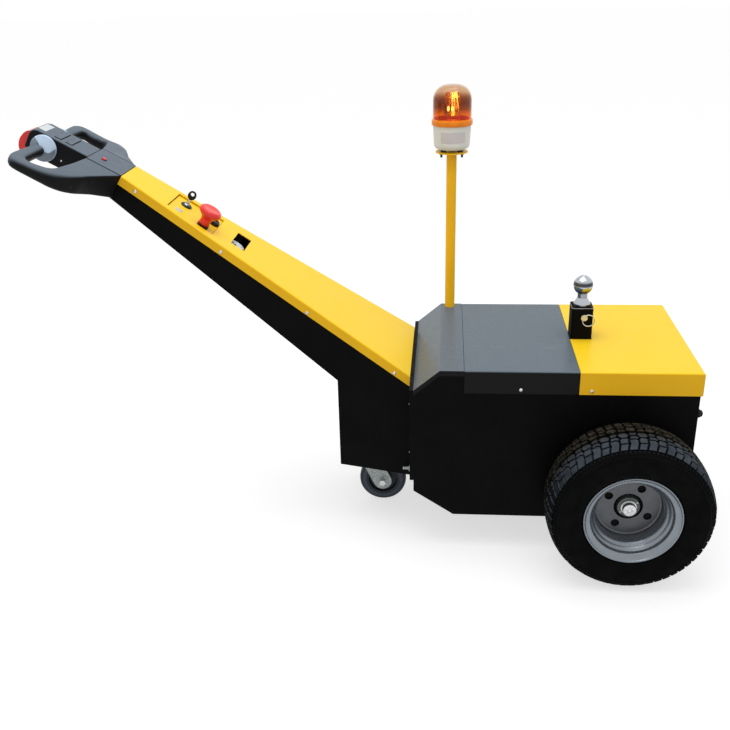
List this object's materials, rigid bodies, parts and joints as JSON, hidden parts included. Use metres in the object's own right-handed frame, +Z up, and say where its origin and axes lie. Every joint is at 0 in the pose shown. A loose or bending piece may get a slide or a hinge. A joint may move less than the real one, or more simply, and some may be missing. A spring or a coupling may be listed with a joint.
{
  "type": "pedestrian electric tow tug",
  "caption": "Walk-behind electric tow tug with a tiller head on a sloping arm, deep-dish drive wheels, swivel caster, amber beacon and tow-ball post",
  "frame": {"origin": "on the floor, midway along and across the machine", "axes": "+Z up, +X towards the tow ball, +Y to the beacon's side"},
  "size_m": [1.7486, 0.854, 1.141],
  "materials": {
    "yellow_paint": "gloss yellow powder coat",
    "black_paint": "satin black powder coat",
    "cover_black": "black powder coat with a soft gloss, on the front cowl and the middle deck cover",
    "tiller_plastic": "fine-grained grey moulding",
    "black_plastic": "matt black moulding",
    "red_plastic": "gloss red moulding",
    "paddle_plastic": "light blue-grey moulding",
    "gauge_plastic": "pale dial in a dark bezel, blank",
    "amber_lens": "clear amber beacon lens",
    "cream_plastic": "cream moulded base",
    "lamp_metal": "bright lamp mirror and holder",
    "chrome": "polished chrome",
    "zinc": "bright zinc plate",
    "key_metal": "bright key with a black oval grip",
    "rim_paint": "silver-grey wheel paint",
    "steel": "machined steel",
    "cast_iron": "painted grey casting",
    "battery_case": "dark battery case",
    "tyre_rubber": "black tyre rubber",
    "caster_rubber": "dark blue-grey caster rubber",
    "buffer_rubber": "black rubber stop"
  },
  "bodies": {
    "chassis": {"body_tub": "black_paint", "rear_panel": "black_paint", "front_plate": "black_paint", "front_cowl": "cover_black", "middle_cover": "cover_black", "rear_cover": "yellow_paint", "arm_frame": "black_paint", "arm_cover": "yellow_paint", "key_switch": "black_plastic", "key_barrel": "chrome", "key": "key_metal", "stop_base": "black_plastic", "emergency_stop": "red_plastic", "push_button": "black_plastic", "charge_gauge": "black_plastic", "gauge_dial": "gauge_plastic", "handle_frame": "tiller_plastic", "handle_top_plate": "tiller_plastic", "control_console": "tiller_plastic", "rocker_buttons": "tiller_plastic", "display_plate": "gauge_plastic", "signal_lens": "red_plastic", "throttle_paddles": "paddle_plastic", "belly_button": "red_plastic", "beacon_pole": "yellow_paint", "beacon_feet": "black_plastic", "beacon_base": "cream_plastic", "beacon_dome": "amber_lens", "beacon_lamp": "lamp_metal", "hitch_post": "black_paint", "ball_insert": "black_paint", "tow_ball": "chrome", "hitch_pin": "zinc", "caster_plate": "zinc", "drive_axle": "cast_iron", "drive_motor": "black_paint", "battery_pack": "battery_case", "rear_buffers": "buffer_rubber", "arm_fixing_bolts": "zinc"},
    "caster_swivel": {"caster_fork": "zinc", "caster_axle": "zinc"},
    "caster_wheel": {"caster_core": "black_plastic", "caster_tyre": "caster_rubber"},
    "wheel_near": {"tyre_near": "tyre_rubber", "rim_near": "rim_paint", "wheel_hub_near": "steel"},
    "wheel_far": {"tyre_far": "tyre_rubber", "rim_far": "rim_paint", "wheel_hub_far": "steel"}
  },
  "joints": [
    {"name": "caster_swivel", "type": "hinge", "parent": "chassis", "child": "caster_swivel", "pos_m": [-0.00065, 0, 0.1585], "axis": [0, 0, 1], "continuous": true},
    {"name": "caster_wheel_turn", "type": "hinge", "parent": "caster_swivel", "child": "caster_wheel", "pos_m": [0.04335, 0, 0.067], "axis": [0, 1, 0], "continuous": true},
    {"name": "near_wheel_turn", "type": "hinge", "parent": "chassis", "child": "wheel_near", "pos_m": [0.67135, -0.3445, 0.203], "axis": [0, 1, 0], "continuous": true},
    {"name": "far_wheel_turn", "type": "hinge", "parent": "chassis", "child": "wheel_far", "pos_m": [0.67135, 0.3445, 0.203], "axis": [0, 1, 0], "continuous": true}
  ]
}
